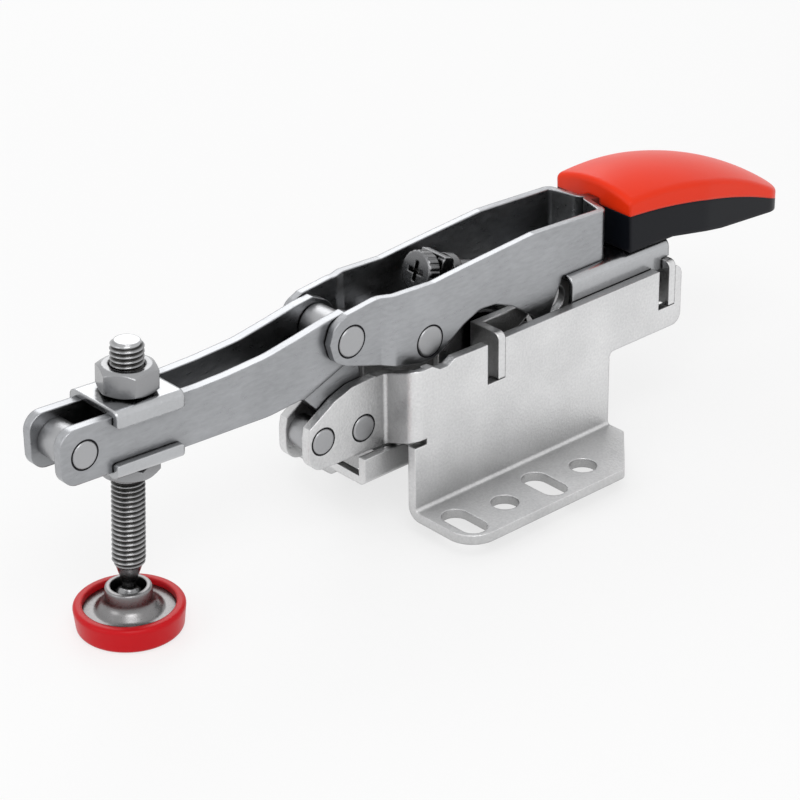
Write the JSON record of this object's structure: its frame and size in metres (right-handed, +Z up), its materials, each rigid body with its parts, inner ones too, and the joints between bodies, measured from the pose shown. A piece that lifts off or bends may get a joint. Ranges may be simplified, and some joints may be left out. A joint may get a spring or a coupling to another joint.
{
  "type": "toggle clamp",
  "caption": "Horizontal toggle clamp: an open arm with an adjustable spindle and swivel foot is pressed down and locked over centre by a handle on a flanged base.",
  "frame": {"origin": "centre of the four round fixing holes, on the underside of the base flanges", "axes": "+X from the clamping arm towards the grip, +Z up away from the mounting surface, Y across the two base plates"},
  "size_m": [0.2338, 0.0716, 0.0738],
  "materials": {
    "zinc_sheet": "zinc-plated pressed sheet, fine grain",
    "zinc_smooth": "zinc-plated smooth sheet, faint brushing",
    "rivet_steel": "turned steel",
    "bright_steel": "bright zinc-plated turned and rolled steel",
    "foot_red": "soft red cap",
    "grip_red": "red moulded grip",
    "grip_black": "black moulded grip"
  },
  "bodies": {
    "base": {"base_plate_left": "zinc_sheet", "base_plate_right": "zinc_sheet", "arm_pivot_rivet": "rivet_steel", "front_spacer_rivet": "rivet_steel", "front_spacer_sleeve": "rivet_steel", "inner_frame": "zinc_sheet", "stop_channel": "bright_steel"},
    "arm": {"arm_plate_left": "zinc_smooth", "arm_plate_right": "zinc_smooth", "arm_front_rivet": "rivet_steel", "arm_front_sleeve": "rivet_steel"},
    "carriage": {"upper_saddle_washer": "zinc_smooth", "lower_saddle_washer": "zinc_smooth"},
    "upper_nut": {"upper_lock_nut": "bright_steel"},
    "lower_nut": {"lower_lock_nut": "bright_steel"},
    "spindle": {"spindle": "bright_steel"},
    "foot": {"foot_socket": "bright_steel", "foot_cap": "foot_red"},
    "handle": {"handle_plate_left": "zinc_smooth", "handle_plate_right": "zinc_smooth", "handle_arm_rivet": "rivet_steel", "handle_arm_sleeve": "rivet_steel", "handle_link_rivet": "rivet_steel", "link_rivet_spacers": "rivet_steel", "grip_cover": "grip_red", "grip_body": "grip_black"},
    "link": {"toggle_link": "bright_steel", "link_rear_pin": "rivet_steel"},
    "force_screw": {"adjusting_screw": "bright_steel", "adjusting_collar": "bright_steel"}
  },
  "joints": [
    {"name": "arm_lift", "type": "hinge", "parent": "base", "child": "arm", "pos_m": [-0.0403, 0, 0.0245], "axis": [0, 1, 0], "range_deg": [0, 70]},
    {"name": "handle_turn", "type": "hinge", "parent": "arm", "child": "handle", "pos_m": [-0.0468, 0, 0.0516], "axis": [0, 1, 0], "range_deg": [-157.9, 0]},
    {"name": "link_turn", "type": "hinge", "parent": "handle", "child": "link", "pos_m": [-0.023, 0, 0.044], "axis": [0, 1, 0], "range_deg": [0, 126.7]},
    {"name": "carriage_slide", "type": "slide", "parent": "arm", "child": "carriage", "axis": [0.9984, 0, -0.0558], "range_m": [-0.006, 0.005]},
    {"name": "upper_nut_turn", "type": "hinge", "parent": "carriage", "child": "upper_nut", "pos_m": [-0.1058, 0, 0.055], "axis": [0.0558, 0, 0.9984], "continuous": true},
    {"name": "lower_nut_turn", "type": "hinge", "parent": "carriage", "child": "lower_nut", "pos_m": [-0.1058, 0, 0.055], "axis": [0.0558, 0, 0.9984], "continuous": true},
    {"name": "spindle_height", "type": "slide", "parent": "carriage", "child": "spindle", "axis": [0.0558, 0, 0.9984], "range_m": [-0.005, 0.02]},
    {"name": "foot_swivel", "type": "hinge", "parent": "spindle", "child": "foot", "pos_m": [-0.1088, 0, 0.0014], "axis": [0, 1, 0], "range_deg": [-10, 10]},
    {"name": "force_screw_turn", "type": "hinge", "parent": "link", "child": "force_screw", "pos_m": [-0.01627, 0, 0.05686], "axis": [0.9526, 0, -0.3042], "continuous": true}
  ],
  "couplings": [
    {"joint": "handle_turn", "follows": "arm_lift", "ratio": -2.2486},
    {"joint": "link_turn", "follows": "arm_lift", "ratio": 1.8029}
  ]
}
